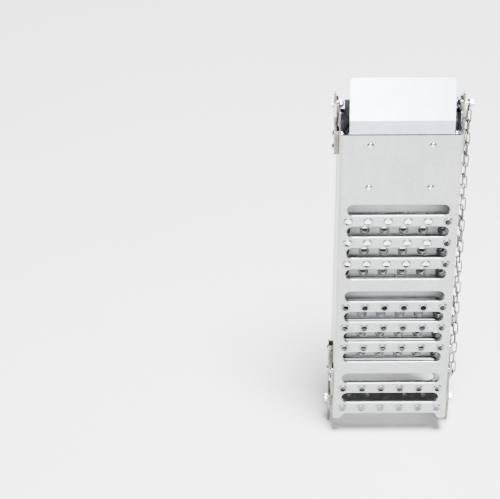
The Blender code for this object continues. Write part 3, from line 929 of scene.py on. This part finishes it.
def link_ends(low, high, bottom_radius, top_half):
    """Evenly spaced link ends (Y offset, Z) down one strand, round the bottom and up the other."""
    corner = low + bottom_radius
    route = [(-top_half, high), (-bottom_radius, corner)]
    route += arc((0, corner), bottom_radius, 180, 360, 36)[1:] + [(top_half, high)]
    lengths = [math.dist(a, b) for a, b in zip(route, route[1:])]
    total = sum(lengths)
    count = round(total / LINK_PITCH)
    ends = []
    for number in range(count + 1):
        left = total * number / count
        i = 0
        while i < len(lengths) - 1 and left > lengths[i]:
            left -= lengths[i]
            i += 1
        share = left / lengths[i]
        (ay, az), (by, bz) = route[i], route[i + 1]
        ends.append((ay + (by - ay) * share, az + (bz - az) * share))
    return ends


def chain():
    """The ring on the pivot bolt and every link of the loop."""
    ring_low, ring_high = box("chain_ring")
    centre = (ring_low + ring_high) / 2
    radius = (ring_high.z - ring_low.z) / 2 - WIRE
    plane = Matrix(((0, 0, 1), (1, 0, 0), (0, 1, 0))).to_4x4()
    mesh = bmesh.new()
    add_wire(mesh, circle((0, 0), radius, 40), 12, Matrix.Translation(centre) @ plane)
    ring = finished(mesh, "chain_ring_wire", WIRE_SHARP_ANGLE, False)
    stand_for(ring, "chain_ring", "chain", CHAIN_LOOK)
    low, high = box("safety_chain")
    top = centre.z - radius
    ends = link_ends(low.z + 2 * WIRE, top, LOOP_SPREAD, LOOP_TOP)
    mesh = bmesh.new()
    ends = [centre + Vector((-LOOP_TURN * y, y, z - centre.z)) for y, z in ends]
    for number, (start, stop) in enumerate(zip(ends, ends[1:])):
        way = (start - stop).normalized()
        across = Vector((1, 0, 0))
        across = (across - across.dot(way) * way).normalized()
        turn = math.radians(90 * (number % 2)) + LINK_SWAY * math.sin(LINK_SWAY_STEP * number)
        across.rotate(Matrix.Rotation(turn, 3, way))
        basis = Matrix((across, way, across.cross(way))).transposed().to_4x4()
        add_wire(mesh, link_path(), 10, Matrix.Translation((start + stop) / 2) @ basis)
    links = finished(mesh, "safety_chain_links", WIRE_SHARP_ANGLE, False)
    stand_for(links, "safety_chain", "chain", CHAIN_LOOK)


chain()


# Camera, floor and light


PICTURE_WIDTH = 500
FOCAL_PIXELS = 2348
SENSOR = 36
CAMERA_PLACE = Vector((-0.3162, -3.6687, 3.2313))
CAMERA_PITCH = math.radians(37.4)
CAMERA_YAW = math.radians(0.44)


def camera():
    data = bpy.data.cameras.new("camera")
    data.sensor_width = SENSOR
    data.lens = FOCAL_PIXELS * SENSOR / PICTURE_WIDTH
    data.clip_end = 50
    made = bpy.data.objects.new("camera", data)
    bpy.context.collection.objects.link(made)
    made.location = CAMERA_PLACE
    made.rotation_euler = (math.pi / 2 - CAMERA_PITCH, 0, -CAMERA_YAW)
    bpy.context.scene.camera = made


def area_light(name, place, target, size, power):
    data = bpy.data.lights.new(name, "AREA")
    data.shape = "RECTANGLE"
    data.size, data.size_y = size
    data.energy = power
    made = bpy.data.objects.new(name, data)
    bpy.context.collection.objects.link(made)
    made.location = place
    made.rotation_euler = (Vector(target) - Vector(place)).to_track_quat("-Z", "Y").to_euler()


def floor():
    mesh = bmesh.new()
    bmesh.ops.create_grid(mesh, x_segments=1, y_segments=1, size=12)
    made = finished(mesh, "studio_floor", weighted=False)
    look, tree, shader = principled("floor_white", 0.9, 0.0)
    tone = ramp(tree, noise(tree, 2), grey(0.9), grey(0.93), 0.3, 0.7)
    tree.links.new(tone, shader.inputs["Base Color"])
    made.data.materials.append(look)


ROOM_LIGHT = 0.3
BACKDROP_LIGHT = 6.0


def studio():
    floor()
    world = bpy.data.worlds.new("studio")
    world.use_nodes = True
    tree = world.node_tree
    seen = tree.nodes.new("ShaderNodeLightPath").outputs["Is Camera Ray"]
    strength = tree.nodes.new("ShaderNodeMapRange")
    strength.inputs["To Min"].default_value = ROOM_LIGHT
    strength.inputs["To Max"].default_value = BACKDROP_LIGHT
    tree.links.new(seen, strength.inputs["Value"])
    tree.links.new(strength.outputs["Result"], tree.nodes["Background"].inputs["Strength"])
    tree.nodes["Background"].inputs["Color"].default_value = (0.95, 0.975, 1, 1)
    bpy.context.scene.world = world
    area_light("key", (0.5, -1.1, 4.9), (0.1, -0.6, 0), (1.6, 1.6), 1500)
    area_light("front", (-0.9, -6, 1.0), (-0.9, 0, 1.0), (3.2, 2.2), 800)


camera()
studio()
